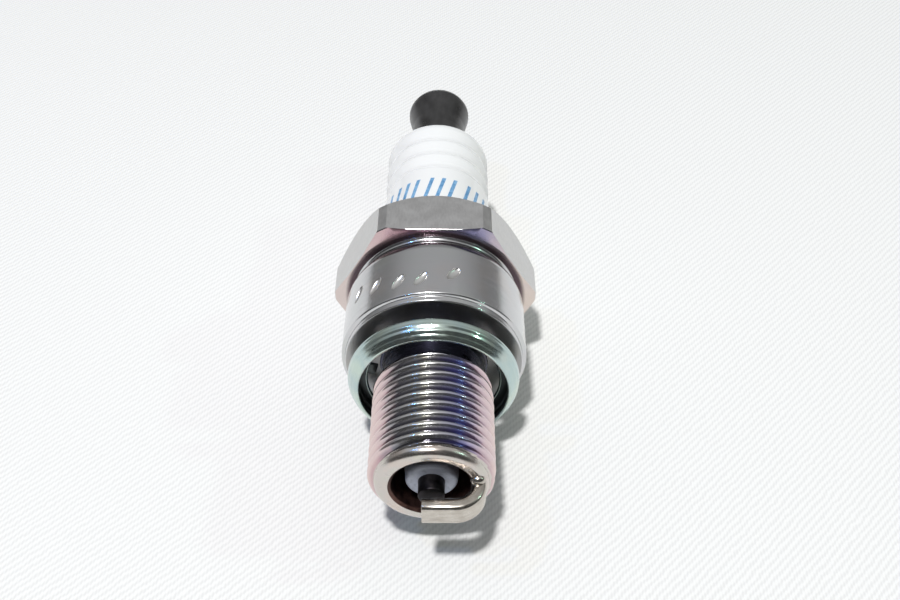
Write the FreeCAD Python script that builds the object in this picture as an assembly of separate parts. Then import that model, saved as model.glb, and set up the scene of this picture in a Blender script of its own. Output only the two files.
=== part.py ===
"""Compact resistor spark plug with an M10 x 1 thread, in millimetres.

Frame: the plug lies on a flat of its hexagon. +Y runs along the plug from the firing end to the
terminal, +Z is up, and the origin is the centre of the gasket seat on the shell. A profile is a
chain of (y, r) points, where y is the place along the plug and r the distance from its axis.
"""
import math
import os

import FreeCAD
import Part
from FreeCAD import Vector

# --- Driving dimensions -------------------------------------------------------------------------
# Thread
THREAD_PITCH = 1.0
THREAD_MAJOR_R = 4.94
THREAD_CORE_R = 4.39
THREAD_FLANK_TAN = math.tan(math.radians(30.0))
THREAD_CREST_HALF = THREAD_PITCH / 16.0
THREAD_RUNOUT_Y = -3.3
RUNOUT_LENGTH = 0.45
CREST_TOP_Y = -11.24          # one crest stands here on the +Z side
REACH = 12.7                  # seat to nose face

# Shell outside
NOSE_FACE_R = 4.0
NOSE_CHAMFER = 1.05
NOSE_ROUND = 0.45
NECK_R = 4.3
SEAT_R = 7.45
COLLAR_R = 7.8
COLLAR_END_Y = 7.45
COLLAR_CURVE_R = 2.1          # the collar's far end draws in along this radius
COLLAR_CURVE_LENGTH = 1.5
SEAT_CONE_LENGTH = 0.6
GROOVE_R = 7.05
HEX_START_Y = 7.95
HEX_END_Y = 12.6
HEX_ACROSS_FLATS = 16.0
HEX_CORNER_R = 9.0
HEX_NEAR_CHAMFER = 0.28
HEX_FAR_CHAMFER = 1.25
CRIMP_END_Y = 14.2

# Shell inside
NOSE_BORE_R = 3.09
LEDGE_BORE_R = 2.86
TRUNK_BORE_R = 3.6
CHAMBER_BORE_R = 5.95
MOUTH_R = 5.14
CHAMBER_START_Y = 2.6

# Insulator
TIP_Y = -12.1
TIP_R = 2.0
NOSE_ROOT_R = 2.5
TRUNK_R = 3.5
FLANGE_R = 5.85
SHOULDER_Y = 9.65
BARREL_R = 5.05
INSULATOR_END_Y = 28.3
END_ROUND = 1.3
RIB_FIRST_Y = 21.5            # first groove between the corrugations
RIB_PITCH = 2.15
RIB_COUNT = 3
RIB_DEPTH = 0.35
RIB_HALF = 0.7
ELECTRODE_BORE_R = 1.05
SEAL_BORE_R = 1.75
ELECTRODE_SEAT_Y = -3.3

# Electrodes
ELECTRODE_R = 1.02
ELECTRODE_HEAD_R = 1.6
CORE_R = 0.5
SPARK_GAP = 0.65
STRAP_THICKNESS = 1.15
STRAP_WIDTH = 2.1
STRAP_OUTER_X = 4.18
STRAP_OUTER_Y = -15.25
STRAP_BEND_R = 2.4            # outside of the bend, which starts just past the nose face
STRAP_END_X = -0.7
STRAP_EDGE_R = 0.22
WELD_WIDTH = 0.32
WELD_HEIGHT = 0.35

# Seal column inside the insulator
LOWER_SEAL_END_Y = 0.6
RESISTOR_END_Y = 7.6
UPPER_SEAL_END_Y = 11.4
STUD_START_Y = 8.8

# Terminal
STEM_R = 1.65
TERMINAL_RIM_R = 3.175
TERMINAL_TOP_Y = 38.0
WAIST_R = 2.6
TERMINAL_FLANGE_R = 2.95

# Gasket, resting against nothing between the run-out and the seat
GASKET_NEAR_Y = -3.2
GASKET_FAR_Y = -1.55
GASKET_OUTER_R = 7.15
GASKET_SHEET = 0.34
GASKET_FACE_HOLE_R = 6.1
GASKET_LIP_R = 5.45
GASKET_FOLDS = 3
TAB_R = 4.8
TAB_COUNT = 3

# Packings between insulator and shell
WIRE_R = 0.45
TALC_CLEARANCE = 0.01

OUT = "parts"


# --- Helpers ------------------------------------------------------------------------------------
def yz(point):
    """Put a (y, r) point into the plane of the profiles."""
    return Vector(0.0, point[0], point[1])


def turned(start, *steps):
    """Revolve a closed profile about the plug's axis.

    A step is a (y, r) point for a straight line, or a (middle, end) pair for an arc.
    """
    edges = []
    here = start
    for step in steps + (start,):
        is_arc = isinstance(step[0], tuple)
        end = step[1] if is_arc else step
        if yz(end).distanceToPoint(yz(here)) < 1e-7:
            continue
        if is_arc:
            edges.append(Part.Arc(yz(here), yz(step[0]), yz(end)).toShape())
        else:
            edges.append(Part.LineSegment(yz(here), yz(end)).toShape())
        here = end
    face = Part.Face(Part.Wire(edges))
    return face.revolve(Vector(0, 0, 0), Vector(0, 1, 0), 360.0)


def rounded(corner, before, after, radius):
    """Give the two steps that round a profile's corner: a point and a (middle, end) arc.

    before and after are the profile's neighbouring corners.
    """
    tip = Vector(corner[0], corner[1], 0)
    back = (Vector(before[0], before[1], 0) - tip).normalize()
    ahead = (Vector(after[0], after[1], 0) - tip).normalize()
    half = back.getAngle(ahead) / 2.0
    reach = radius / math.tan(half)
    centre = tip + (back + ahead).normalize() * (radius / math.sin(half))
    middle = centre + (tip - centre).normalize() * radius
    first = tip + back * reach
    last = tip + ahead * reach
    return (first.x, first.y), ((middle.x, middle.y), (last.x, last.y))


def cylinder(radius, y0, y1):
    """A plain cylinder on the plug's axis."""
    return Part.makeCylinder(radius, y1 - y0, Vector(0, y0, 0), Vector(0, 1, 0))


def save(name, shape):
    """Write one sub-part."""
    shape.exportStep(os.path.join(OUT, name + ".step"))
    print(name, "valid", shape.isValid(), "solids", len(shape.Solids), "volume", round(shape.Volume, 2))


# --- Metal shell --------------------------------------------------------------------------------
def thread_ridge():
    """The rolled thread's ridge as one helical solid, from before the nose face to past the run-out."""
    start_y = CREST_TOP_Y - 1.75 * THREAD_PITCH
    length = THREAD_RUNOUT_Y + THREAD_PITCH - start_y
    foot_r = THREAD_CORE_R - 0.1
    foot_half = THREAD_CREST_HALF + (THREAD_MAJOR_R - foot_r) * THREAD_FLANK_TAN
    helix = Part.makeHelix(THREAD_PITCH, length, THREAD_CORE_R)
    corners = [(foot_r, -foot_half), (THREAD_MAJOR_R, -THREAD_CREST_HALF),
               (THREAD_MAJOR_R, THREAD_CREST_HALF), (foot_r, foot_half)]
    section = Part.makePolygon([Vector(r, 0, z) for r, z in corners + corners[:1]])
    ridge = Part.Wire(helix).makePipeShell([section], True, True)
    ridge.rotate(Vector(0, 0, 0), Vector(1, 0, 0), -90.0)
    ridge.translate(Vector(0, start_y, 0))
    return ridge


def outside_cone(y, r, slope, away_y):
    """The space outside a cone through (y, r) whose radius grows by slope per mm, as far as away_y."""
    inner, outer = 3.5, 7.0
    return turned((away_y, inner), (y + (inner - r) / slope, inner), (y + (outer - r) / slope, outer),
                  (away_y, outer))


def thread_core():
    """Solid core of the threaded end: rounded and chamfered nose, core diameter, start of the neck."""
    nose_slope = (THREAD_MAJOR_R - NOSE_FACE_R) / NOSE_CHAMFER
    chamfer_y = -REACH + (THREAD_CORE_R - NOSE_FACE_R) / nose_slope
    nose_edge = rounded((-REACH, NOSE_FACE_R), (-REACH, 0), (chamfer_y, THREAD_CORE_R), NOSE_ROUND)
    return turned((-REACH, 0), *nose_edge, (chamfer_y, THREAD_CORE_R),
                  (THREAD_RUNOUT_Y + 0.3, THREAD_CORE_R), (THREAD_RUNOUT_Y + 0.4, NECK_R),
                  (THREAD_RUNOUT_Y + 0.4, 0))


def threaded_end():
    """Threaded end of the shell, chamfered at the nose and run out before the neck."""
    nose_slope = (THREAD_MAJOR_R - NOSE_FACE_R) / NOSE_CHAMFER
    runout_slope = (NECK_R - THREAD_MAJOR_R) / RUNOUT_LENGTH
    ridge = thread_ridge().cut(outside_cone(-REACH + 0.02, NOSE_FACE_R, nose_slope, -REACH - 3.0))
    ridge = ridge.cut(outside_cone(THREAD_RUNOUT_Y, THREAD_MAJOR_R, runout_slope, 0.0))
    return thread_core().fuse(ridge)


def hexagon():
    """The wrenching hexagon with a flat on top, its corners turned off and both faces chamfered."""
    corner = HEX_ACROSS_FLATS / 2.0 / math.cos(math.radians(30.0))
    points = [Vector(corner * math.cos(math.radians(60.0 * i)), HEX_START_Y,
                     corner * math.sin(math.radians(60.0 * i))) for i in range(7)]
    prism = Part.Face(Part.makePolygon(points)).extrude(Vector(0, HEX_END_Y - HEX_START_Y, 0))
    flat_r = HEX_ACROSS_FLATS / 2.0
    envelope = turned((HEX_START_Y, 0), (HEX_START_Y, flat_r - 0.1),
                      (HEX_START_Y + HEX_NEAR_CHAMFER, HEX_CORNER_R),
                      (HEX_END_Y - HEX_FAR_CHAMFER, HEX_CORNER_R), (HEX_END_Y, flat_r - 0.06), (HEX_END_Y, 0))
    return prism.common(envelope)


def collar_curve(length):
    """Radius of the collar after its far end has drawn in for a length along the axis."""
    return COLLAR_R - COLLAR_CURVE_R + math.sqrt(COLLAR_CURVE_R ** 2 - length ** 2)


def shell_body():
    """Collar, caulking groove and crimp lip, solid down to the axis."""
    curve_y = COLLAR_END_Y - COLLAR_CURVE_LENGTH
    half_length = COLLAR_CURVE_LENGTH / 2.0
    cone_y = SEAT_CONE_LENGTH
    return turned(
        (THREAD_RUNOUT_Y - 0.5, 0), (THREAD_RUNOUT_Y - 0.5, NECK_R), (-0.3, NECK_R),
        ((-0.09, NECK_R + 0.09), (0, NECK_R + 0.3)), (0, SEAT_R - 0.12),
        ((0.035, SEAT_R - 0.035), (0.12, SEAT_R + 0.05)), (cone_y - 0.12, COLLAR_R - 0.07),
        ((cone_y - 0.02, COLLAR_R - 0.02), (cone_y + 0.12, COLLAR_R)), (curve_y, COLLAR_R),
        ((curve_y + half_length, collar_curve(half_length)),
         (COLLAR_END_Y, collar_curve(COLLAR_CURVE_LENGTH))),
        ((COLLAR_END_Y + 0.04, GROOVE_R + 0.04), (COLLAR_END_Y + 0.12, GROOVE_R)),
        (HEX_START_Y + 0.2, GROOVE_R), (HEX_END_Y - 0.2, GROOVE_R + 0.1), (HEX_END_Y + 0.5, GROOVE_R + 0.05),
        ((CRIMP_END_Y - 0.28, 6.55), (CRIMP_END_Y, 5.6)), (CRIMP_END_Y, 0))


def shell_cavity():
    """Everything hollow inside the shell, from the nose bore to the mouth of the crimp."""
    return turned(
        (-REACH - 1, 0), (-REACH - 1, NOSE_BORE_R), (-REACH - 0.1, NOSE_BORE_R + 0.25),
        (-REACH + 0.15, NOSE_BORE_R), (-6.0, NOSE_BORE_R), (-5.6, LEDGE_BORE_R), (-4.75, LEDGE_BORE_R),
        (-4.25, TRUNK_BORE_R), (CHAMBER_START_Y - 1.0, TRUNK_BORE_R), (CHAMBER_START_Y, CHAMBER_BORE_R),
        (12.9, CHAMBER_BORE_R), ((13.5, 5.67), (13.72, MOUTH_R + 0.06)), (CRIMP_END_Y + 0.1, MOUTH_R),
        (CRIMP_END_Y + 1, MOUTH_R + 0.4), (CRIMP_END_Y + 1, 0))


def metal_shell():
    """Cold-forged steel shell with a real helical thread."""
    solid = threaded_end().fuse([shell_body(), hexagon()])
    return solid.cut(shell_cavity())


# --- Gasket -------------------------------------------------------------------------------------
def gasket():
    """Folded sheet ring: three folds outside, an open channel inside, and three staked tabs."""
    t = GASKET_SHEET
    near, far, outer = GASKET_NEAR_Y, GASKET_FAR_Y, GASKET_OUTER_R
    fold = (far - near) / GASKET_FOLDS
    steps = [((near + 0.1, GASKET_FACE_HOLE_R + 0.02), (near, GASKET_FACE_HOLE_R + 0.2)),
             (near, outer - 0.28)]
    for i in range(GASKET_FOLDS):
        y0 = near + i * fold
        start_r = outer - 0.28 if i == 0 else outer - 0.2
        end_r = outer - 0.28 if i == GASKET_FOLDS - 1 else outer - 0.2
        steps.append((y0, start_r))
        steps.append(((y0 + fold / 2.0, outer), (y0 + fold, end_r)))
    back_r = outer - 2.0 * t
    steps += [(far, GASKET_LIP_R + 0.15), ((far - t / 2.0, GASKET_LIP_R), (far - t, GASKET_LIP_R + 0.15)),
              (far - t, back_r - 0.25), ((far - t - 0.1, back_r - 0.06), (far - t - 0.28, back_r)),
              (near + t + 0.2, back_r), ((near + t + 0.06, back_r - 0.06), (near + t, back_r - 0.2)),
              (near + t, GASKET_FACE_HOLE_R + 0.2)]
    ring = turned((near + t - 0.1, GASKET_FACE_HOLE_R + 0.02), *steps)
    tabs = []
    for i in range(TAB_COUNT):
        tab = Part.makeBox(1.1, t - 0.04, GASKET_LIP_R + 0.35 - TAB_R,
                           Vector(-0.55, far - t + 0.02, TAB_R))
        tab.rotate(Vector(0, 0, 0), Vector(0, 1, 0), 45.0 + 360.0 / TAB_COUNT * i)
        tabs.append(tab)
    return ring.fuse(tabs)


# --- Insulator ----------------------------------------------------------------------------------
def insulator():
    """Glazed alumina body with the firing nose, the flange, the barrel and its corrugations."""
    end_round = rounded((INSULATOR_END_Y, BARREL_R), (20.0, BARREL_R), (INSULATOR_END_Y, 0), END_ROUND)
    tip_round = rounded((TIP_Y, TIP_R), (TIP_Y, 0), (-5.0, NOSE_ROOT_R), 0.35)
    ribs = []
    for i in range(RIB_COUNT):
        y = RIB_FIRST_Y + i * RIB_PITCH
        ribs += [(y - RIB_HALF, BARREL_R), ((y, BARREL_R - RIB_DEPTH), (y + RIB_HALF, BARREL_R))]
    return turned(
        (TIP_Y, ELECTRODE_BORE_R), *tip_round, (-5.0, NOSE_ROOT_R), (-4.55, NOSE_ROOT_R + 0.1),
        (-4.0, TRUNK_R - 0.12), ((-3.9, TRUNK_R - 0.03), (-3.75, TRUNK_R)), (1.55, TRUNK_R),
        (2.75, FLANGE_R - 0.35), ((2.95, FLANGE_R - 0.09), (3.3, FLANGE_R)), (SHOULDER_Y - 0.8, FLANGE_R),
        ((SHOULDER_Y - 0.45, FLANGE_R - 0.1), (SHOULDER_Y - 0.25, FLANGE_R - 0.3)),
        (SHOULDER_Y - 0.1, BARREL_R + 0.35), ((SHOULDER_Y, BARREL_R + 0.08), (SHOULDER_Y + 0.2, BARREL_R)),
        *ribs, *end_round, (INSULATOR_END_Y, SEAL_BORE_R + 0.1),
        (INSULATOR_END_Y - 0.1, SEAL_BORE_R), (ELECTRODE_SEAT_Y + 0.7, SEAL_BORE_R),
        (ELECTRODE_SEAT_Y, ELECTRODE_BORE_R))


# --- Centre electrode and seal column -----------------------------------------------------------
def electrode_tip_y():
    """Front face of the centre electrode, one spark gap short of the ground electrode."""
    return STRAP_OUTER_Y + STRAP_THICKNESS + SPARK_GAP


def electrode_blank():
    """Outside of the centre electrode: the pin and its flanged head."""
    tip = electrode_tip_y()
    head = ELECTRODE_SEAT_Y
    return turned((tip, 0), (tip, ELECTRODE_R - 0.06), (tip + 0.06, ELECTRODE_R), (head, ELECTRODE_R),
                  (head + 0.6, ELECTRODE_HEAD_R), (head + 1.0, ELECTRODE_HEAD_R),
                  (head + 1.25, ELECTRODE_R), (head + 1.9, ELECTRODE_R), (head + 1.9, 0))


def copper_core():
    """Copper core, rounded in front and open at the electrode's head."""
    front = electrode_tip_y() + 1.3
    return turned((front, 0), ((front + 0.15, CORE_R - 0.15), (front + 0.5, CORE_R)),
                  (ELECTRODE_SEAT_Y + 1.9, CORE_R), (ELECTRODE_SEAT_Y + 1.9, 0))


def stud_blank():
    """Terminal stud: knob, waist, flange and stem, with a grooved end for the glass to grip."""
    top, rim = TERMINAL_TOP_Y, TERMINAL_RIM_R
    base = INSULATOR_END_Y
    grooves = []
    for i in range(4):
        y = UPPER_SEAL_END_Y - 0.35 - i * 0.6
        grooves += [(y, STEM_R), (y - 0.15, STEM_R - 0.15), (y - 0.3, STEM_R)]
    return turned(
        (top, 0), (top, 1.35), ((top - 0.3, 2.15), (top - 1.15, rim - 0.25)),
        ((top - 1.4, rim - 0.06), (top - 1.7, rim)), (top - 2.0, rim),
        ((top - 4.2, WAIST_R + 0.24), (top - 5.6, WAIST_R)), (base + 1.75, WAIST_R),
        ((base + 1.35, WAIST_R + 0.1), (base + 1.1, TERMINAL_FLANGE_R - 0.08)),
        ((base + 0.98, TERMINAL_FLANGE_R - 0.02), (base + 0.85, TERMINAL_FLANGE_R)),
        (base + 0.1, TERMINAL_FLANGE_R), (base, TERMINAL_FLANGE_R - 0.1), (base, STEM_R),
        *grooves, (STUD_START_Y + 0.3, STEM_R), (STUD_START_Y, STEM_R - 0.3), (STUD_START_Y, 0))


def lower_glass_seal():
    """Conductive glass that locks the centre electrode's head into the insulator."""
    start = ELECTRODE_SEAT_Y
    fill = turned((start, 0), (start, ELECTRODE_BORE_R), (start + 0.7, SEAL_BORE_R),
                  (LOWER_SEAL_END_Y, SEAL_BORE_R), (LOWER_SEAL_END_Y, 0))
    return fill.cut(electrode_blank())


def upper_glass_seal():
    """Conductive glass that locks the terminal stud's end into the insulator."""
    return cylinder(SEAL_BORE_R, RESISTOR_END_Y, UPPER_SEAL_END_Y).cut(stud_blank())


# --- Ground electrode ---------------------------------------------------------------------------
def strap_section():
    """Rounded rectangle of the strap at its root, standing on the nose face."""
    x0, x1 = STRAP_OUTER_X - STRAP_THICKNESS, STRAP_OUTER_X
    z1 = STRAP_WIDTH / 2.0
    edges = []
    corners = [(x1, z1, 0.0), (x0, z1, 90.0), (x0, -z1, 180.0), (x1, -z1, 270.0)]
    arcs = []
    for x, z, angle in corners:
        centre = Vector(x - math.copysign(STRAP_EDGE_R, x - (x0 + x1) / 2.0), -REACH,
                        z - math.copysign(STRAP_EDGE_R, z))
        turns = [math.radians(angle + turn) for turn in (0.0, 45.0, 90.0)]
        on_arc = [centre + Vector(math.cos(turn), 0, math.sin(turn)) * STRAP_EDGE_R for turn in turns]
        arcs.append(on_arc)
    for i, on_arc in enumerate(arcs):
        edges.append(Part.Arc(*on_arc).toShape())
        edges.append(Part.LineSegment(on_arc[2], arcs[(i + 1) % 4][0]).toShape())
    return Part.Wire(edges)


def ground_electrode():
    """Rectangular nickel strap, bent across the centre electrode, with rounded long edges."""
    middle_x = STRAP_OUTER_X - STRAP_THICKNESS / 2.0
    middle_y = STRAP_OUTER_Y + STRAP_THICKNESS / 2.0
    bend = STRAP_BEND_R - STRAP_THICKNESS / 2.0
    centre = Vector(middle_x - bend, middle_y + bend, 0)
    half_turn = Vector(math.sqrt(0.5), -math.sqrt(0.5), 0) * bend
    start, turn_in = Vector(middle_x, -REACH, 0), Vector(middle_x, centre.y, 0)
    turn_out, end = Vector(centre.x, middle_y, 0), Vector(STRAP_END_X, middle_y, 0)
    path = Part.Wire([
        Part.LineSegment(start, turn_in).toShape(),
        Part.Arc(turn_in, centre + half_turn, turn_out).toShape(),
        Part.LineSegment(turn_out, end).toShape(),
    ])
    return path.makePipeShell([strap_section()], True, True)


def ground_weld():
    """Upset metal left at the strap's two edges, where the weld was trimmed flush on its broad faces."""
    middle_x = STRAP_OUTER_X - STRAP_THICKNESS / 2.0
    half_x = STRAP_THICKNESS / 2.0 - STRAP_EDGE_R - 0.02
    beads = []
    for side in (1.0, -1.0):
        z0 = side * STRAP_WIDTH / 2.0
        z1 = z0 + side * WELD_WIDTH
        z_top = z0 + side * WELD_WIDTH * 0.6
        corners = [(-REACH, z0), (-REACH, z1), (-REACH - WELD_HEIGHT * 0.4, z1),
                   (-REACH - WELD_HEIGHT, z_top), (-REACH - WELD_HEIGHT, z0)]
        outline = Part.makePolygon([Vector(middle_x - half_x, y, z) for y, z in corners + corners[:1]])
        beads.append(Part.Face(outline).extrude(Vector(2.0 * half_x, 0, 0)))
    return Part.makeCompound(beads)


# --- Packings -----------------------------------------------------------------------------------
def wire_ring(y):
    """A round wire ring that fills the space between the barrel and the shell."""
    middle_r = (BARREL_R + CHAMBER_BORE_R) / 2.0
    return Part.makeTorus(middle_r, WIRE_R, Vector(0, y, 0), Vector(0, 1, 0))


def sheet_packing():
    """Thin plate washer, coned to the ledge that it sits on."""
    return turned((-4.62, LEDGE_BORE_R + 0.14), (-4.52, LEDGE_BORE_R - 0.1), (-4.12, TRUNK_BORE_R - 0.34),
                  (-4.06, TRUNK_BORE_R - 0.08), (-4.28, TRUNK_BORE_R - 0.12))


def talc_filling(lower_y, upper_y):
    """Compacted powder between the two wire rings."""
    inner = BARREL_R + TALC_CLEARANCE
    outer = CHAMBER_BORE_R - TALC_CLEARANCE
    return turned((lower_y, inner), (lower_y, outer), (upper_y, outer), (upper_y, inner))


# --- Build --------------------------------------------------------------------------------------
def main():
    """Write every sub-part."""
    os.makedirs(OUT, exist_ok=True)
    lower_ring_y = SHOULDER_Y + WIRE_R + 0.12
    upper_ring_y = CRIMP_END_Y - 1.75
    save("metal_shell", metal_shell())
    save("ground_electrode", ground_electrode())
    save("ground_weld", ground_weld())
    save("gasket", gasket())
    save("insulator", insulator())
    save("center_electrode", electrode_blank().cut(copper_core()))
    save("copper_core", copper_core())
    save("lower_glass_seal", lower_glass_seal())
    save("resistor", cylinder(SEAL_BORE_R, LOWER_SEAL_END_Y, RESISTOR_END_Y))
    save("upper_glass_seal", upper_glass_seal())
    save("terminal_stud", stud_blank())
    save("sheet_packing", sheet_packing())
    save("lower_packing_ring", wire_ring(lower_ring_y))
    save("talc_filling", talc_filling(lower_ring_y + WIRE_R, upper_ring_y - WIRE_R))
    save("upper_packing_ring", wire_ring(upper_ring_y))


main()
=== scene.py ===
"""Looks of a compact resistor spark plug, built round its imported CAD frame.

Frame: +Y runs from the firing end to the terminal, +Z is up, and the origin is the centre of the
gasket seat. Sizes in the classes are millimetres and become metres when a piece is finished.
"""
import logging
import math
from dataclasses import dataclass
from enum import Enum
from typing import Callable, ClassVar, Optional, Sequence, Union

import bmesh
import bpy
from bmesh.types import BMEdge, BMesh, BMFace, BMVert
from mathutils import Matrix, Vector


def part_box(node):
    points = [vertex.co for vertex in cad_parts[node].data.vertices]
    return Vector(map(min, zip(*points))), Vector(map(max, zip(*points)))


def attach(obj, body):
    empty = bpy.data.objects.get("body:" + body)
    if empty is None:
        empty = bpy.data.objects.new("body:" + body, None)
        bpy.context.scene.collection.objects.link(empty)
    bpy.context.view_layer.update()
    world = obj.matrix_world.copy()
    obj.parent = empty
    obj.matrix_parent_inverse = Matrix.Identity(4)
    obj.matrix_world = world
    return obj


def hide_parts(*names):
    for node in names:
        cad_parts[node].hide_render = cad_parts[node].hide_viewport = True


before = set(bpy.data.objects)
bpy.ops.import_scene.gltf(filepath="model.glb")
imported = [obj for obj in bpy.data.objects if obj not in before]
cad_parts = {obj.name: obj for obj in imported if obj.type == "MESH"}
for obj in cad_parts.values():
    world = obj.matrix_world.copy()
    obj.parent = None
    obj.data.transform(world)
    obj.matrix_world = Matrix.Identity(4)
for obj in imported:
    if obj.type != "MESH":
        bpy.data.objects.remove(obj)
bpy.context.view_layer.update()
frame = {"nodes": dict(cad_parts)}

log = logging.getLogger("spark_plug")

MM = 0.001
ORIGIN = Vector((0.0, 0.0, 0.0))
AXIS = Vector((0.0, 1.0, 0.0))
RING_STEPS = 192
WELD_DISTANCE = 0.0004          # mm, joins the seam of a full spin
SHARP_ANGLE = 30.0              # degrees between faces, past which an edge stays sharp
EVEN = (1.0, 1.0, 1.0)

Tree, Socket = bpy.types.NodeTree, bpy.types.NodeSocket
Piece, Material = bpy.types.Object, bpy.types.Material
Section = list[tuple[float, float]]
Triple = tuple[float, float, float]
Tints = tuple[tuple[float, str], ...]
Looks = dict[str, Union[float, Socket]]
Region = Callable[[Vector, Vector], int]


class Body(Enum):
    """The rigid bodies of the frame."""

    PLUG = "plug"
    GASKET = "gasket_ring"


class Join(Enum):
    """Ways to combine two solids."""

    UNION = "UNION"
    CUT = "DIFFERENCE"
    KEEP_COMMON = "INTERSECT"


# --- Turning and joining ---
@dataclass(frozen=True)
class Corner:
    """One corner of a turned outline.

    Attributes:
        y: Place along the plug, mm.
        r: Distance from the axis, mm.
        blend: Radius that rounds the corner, mm, or 0 for a sharp one.
        facets: Facets of the rounding.
    """

    y: float
    r: float
    blend: float = 0.0
    facets: int = 5


def round_off(bm: BMesh, geom: Sequence, width: float, facets: int, affect: str = "EDGES",
              clamp: bool = False) -> None:
    """Round edges or corners.

    Args:
        bm: Mesh that holds them.
        geom: The edges or corners.
        width: Width of the rounding, mm.
        facets: Facets of the rounding.
        affect: EDGES or VERTICES.
        clamp: Whether a rounding stops where it would meet another.
    """
    bmesh.ops.bevel(bm, geom=geom, offset=width, affect=affect, segments=facets, profile=0.5, material=-1,
                    clamp_overlap=clamp)


def reach(point: Vector) -> float:
    """Give a point's distance from the axis."""
    return math.hypot(point.x, point.z)


def is_sharp(edge: BMEdge, angle: float = SHARP_ANGLE) -> bool:
    """Tell whether an edge's two faces meet at more than an angle in degrees."""
    return edge.is_manifold and edge.calc_face_angle() > math.radians(angle)


def hold(name: str, bm: BMesh) -> Piece:
    """Put a mesh in the scene as an object.

    Args:
        name: The object's name.
        bm: Its mesh, freed here.

    Returns:
        The object.
    """
    mesh = bpy.data.meshes.new(name)
    bm.to_mesh(mesh)
    bm.free()
    held = bpy.data.objects.new(name, mesh)
    bpy.context.scene.collection.objects.link(held)
    return held


def draw_outline(bm: BMesh, corners: Sequence[Corner], closed: bool) -> None:
    """Draw a turned outline as a wire in the plane through the axis, with its corners rounded.

    Args:
        bm: Mesh that takes the wire.
        corners: Corners in order.
        closed: Whether the last corner joins the first.
    """
    verts = [bm.verts.new((0.0, corner.y, corner.r)) for corner in corners]
    for start, end in zip(verts, verts[1:] + verts[:1] if closed else verts[1:]):
        bm.edges.new((start, end))
    count = len(corners)
    for i, (corner, vert) in enumerate(zip(corners, verts)):
        if corner.blend > 0.0:
            here = Vector((corner.y, corner.r))
            before, after = corners[i - 1], corners[(i + 1) % count]
            half = (Vector((before.y, before.r)) - here).angle(Vector((after.y, after.r)) - here) / 2.0
            round_off(bm, [vert], corner.blend / math.tan(half), corner.facets, "VERTICES")


def stations(corners: Sequence[Corner]) -> Section:
    """List the (y, r) points of an open outline once its corners are rounded.

    Args:
        corners: Corners in order. The first and the last stay sharp.

    Returns:
        The points in order.
    """
    bm = bmesh.new()
    draw_outline(bm, corners, closed=False)
    first = Vector((0.0, corners[0].y, corners[0].r))
    here = min(bm.verts, key=lambda vert: (vert.co - first).length)
    walked, points = None, [(here.co.y, here.co.z)]
    while True:
        ahead = [edge for edge in here.link_edges if edge is not walked]
        if not ahead:
            break
        walked = ahead[0]
        here = walked.other_vert(here)
        points.append((here.co.y, here.co.z))
    bm.free()
    return points


def lathe(corners: Sequence[Corner], closed: bool = False, steps: int = RING_STEPS) -> BMesh:
    """Turn an outline about the plug's axis into a closed shell.

    Args:
        corners: Corners in order. An open outline starts and ends on the axis.
        closed: Whether the outline is a loop clear of the axis.
        steps: Facets round the axis.

    Returns:
        The turned mesh.
    """
    bm = bmesh.new()
    draw_outline(bm, corners, closed)
    bmesh.ops.spin(bm, geom=bm.verts[:] + bm.edges[:], cent=ORIGIN, axis=AXIS, angle=math.tau,
                   steps=steps, use_merge=True, use_duplicate=False)
    bmesh.ops.remove_doubles(bm, verts=bm.verts, dist=WELD_DISTANCE)
    bmesh.ops.dissolve_degenerate(bm, dist=WELD_DISTANCE / 4.0, edges=bm.edges)
    bmesh.ops.recalc_face_normals(bm, faces=bm.faces)
    return bm


def grow(bm: BMesh, rim: list, points: Section) -> list:
    """Extrude a round rim from station to station.

    Args:
        bm: Mesh that holds the rim.
        rim: Edges of the open rim.
        points: (y, r) stations, mm.

    Returns:
        The edges of the last rim.
    """
    for y, r in points:
        made = bmesh.ops.extrude_edge_only(bm, edges=rim)["geom"]
        fresh = {item for item in made if isinstance(item, BMVert)}
        rim = [item for item in made if isinstance(item, BMEdge) and set(item.verts) <= fresh]
        for vert in fresh:
            stretch = r / reach(vert.co)
            vert.co = Vector((vert.co.x * stretch, y, vert.co.z * stretch))
    return rim


def combine(first: BMesh, second: BMesh, how: Join) -> BMesh:
    """Combine two closed solids and free both.

    Args:
        first: The solid that stays or is cut.
        second: The solid that is added, taken away or kept in common.
        how: The way to combine them.

    Returns:
        A new mesh.
    """
    holders = [hold("first", first), hold("second", second)]
    joint = holders[0].modifiers.new("join", "BOOLEAN")
    joint.operation, joint.object, joint.solver = how.value, holders[1], "EXACT"
    result = bmesh.new()
    graph = bpy.context.evaluated_depsgraph_get()
    result.from_object(holders[0], graph)
    for holder in holders:
        mesh = holder.data
        bpy.data.objects.remove(holder)
        bpy.data.meshes.remove(mesh)
    return result


def finished(name: str, bm: BMesh, body: Body, replaced: Sequence[str],
             materials: Sequence[Material], region: Optional[Region] = None,
             weighted: bool = False) -> Piece:
    """Turn a mesh in mm into a piece of the plug, in metres.

    Args:
        name: The piece's name.
        bm: Its mesh, freed here.
        body: The body that it rides on.
        replaced: CAD nodes that it stands for.
        materials: Its materials.
        region: Picks a material from a face's middle and normal, in mm.
        weighted: Whether large flat faces keep their own normals.

    Returns:
        The new object.
    """
    bm.normal_update()
    for face in bm.faces:
        face.smooth = True
        if region is not None:
            face.material_index = region(face.calc_center_median(), face.normal)
    for edge in bm.edges:
        edge.smooth = not is_sharp(edge)
    bmesh.ops.scale(bm, vec=(MM, MM, MM), verts=bm.verts)
    piece = hold(name, bm)
    for material in materials:
        piece.data.materials.append(material)
    if weighted:
        piece.modifiers.new("flats", "WEIGHTED_NORMAL").keep_sharp = True
    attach(piece, body.value)
    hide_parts(*replaced)
    log.info("%s: %d faces on %s", name, len(piece.data.polygons), body.value)
    return piece


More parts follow.
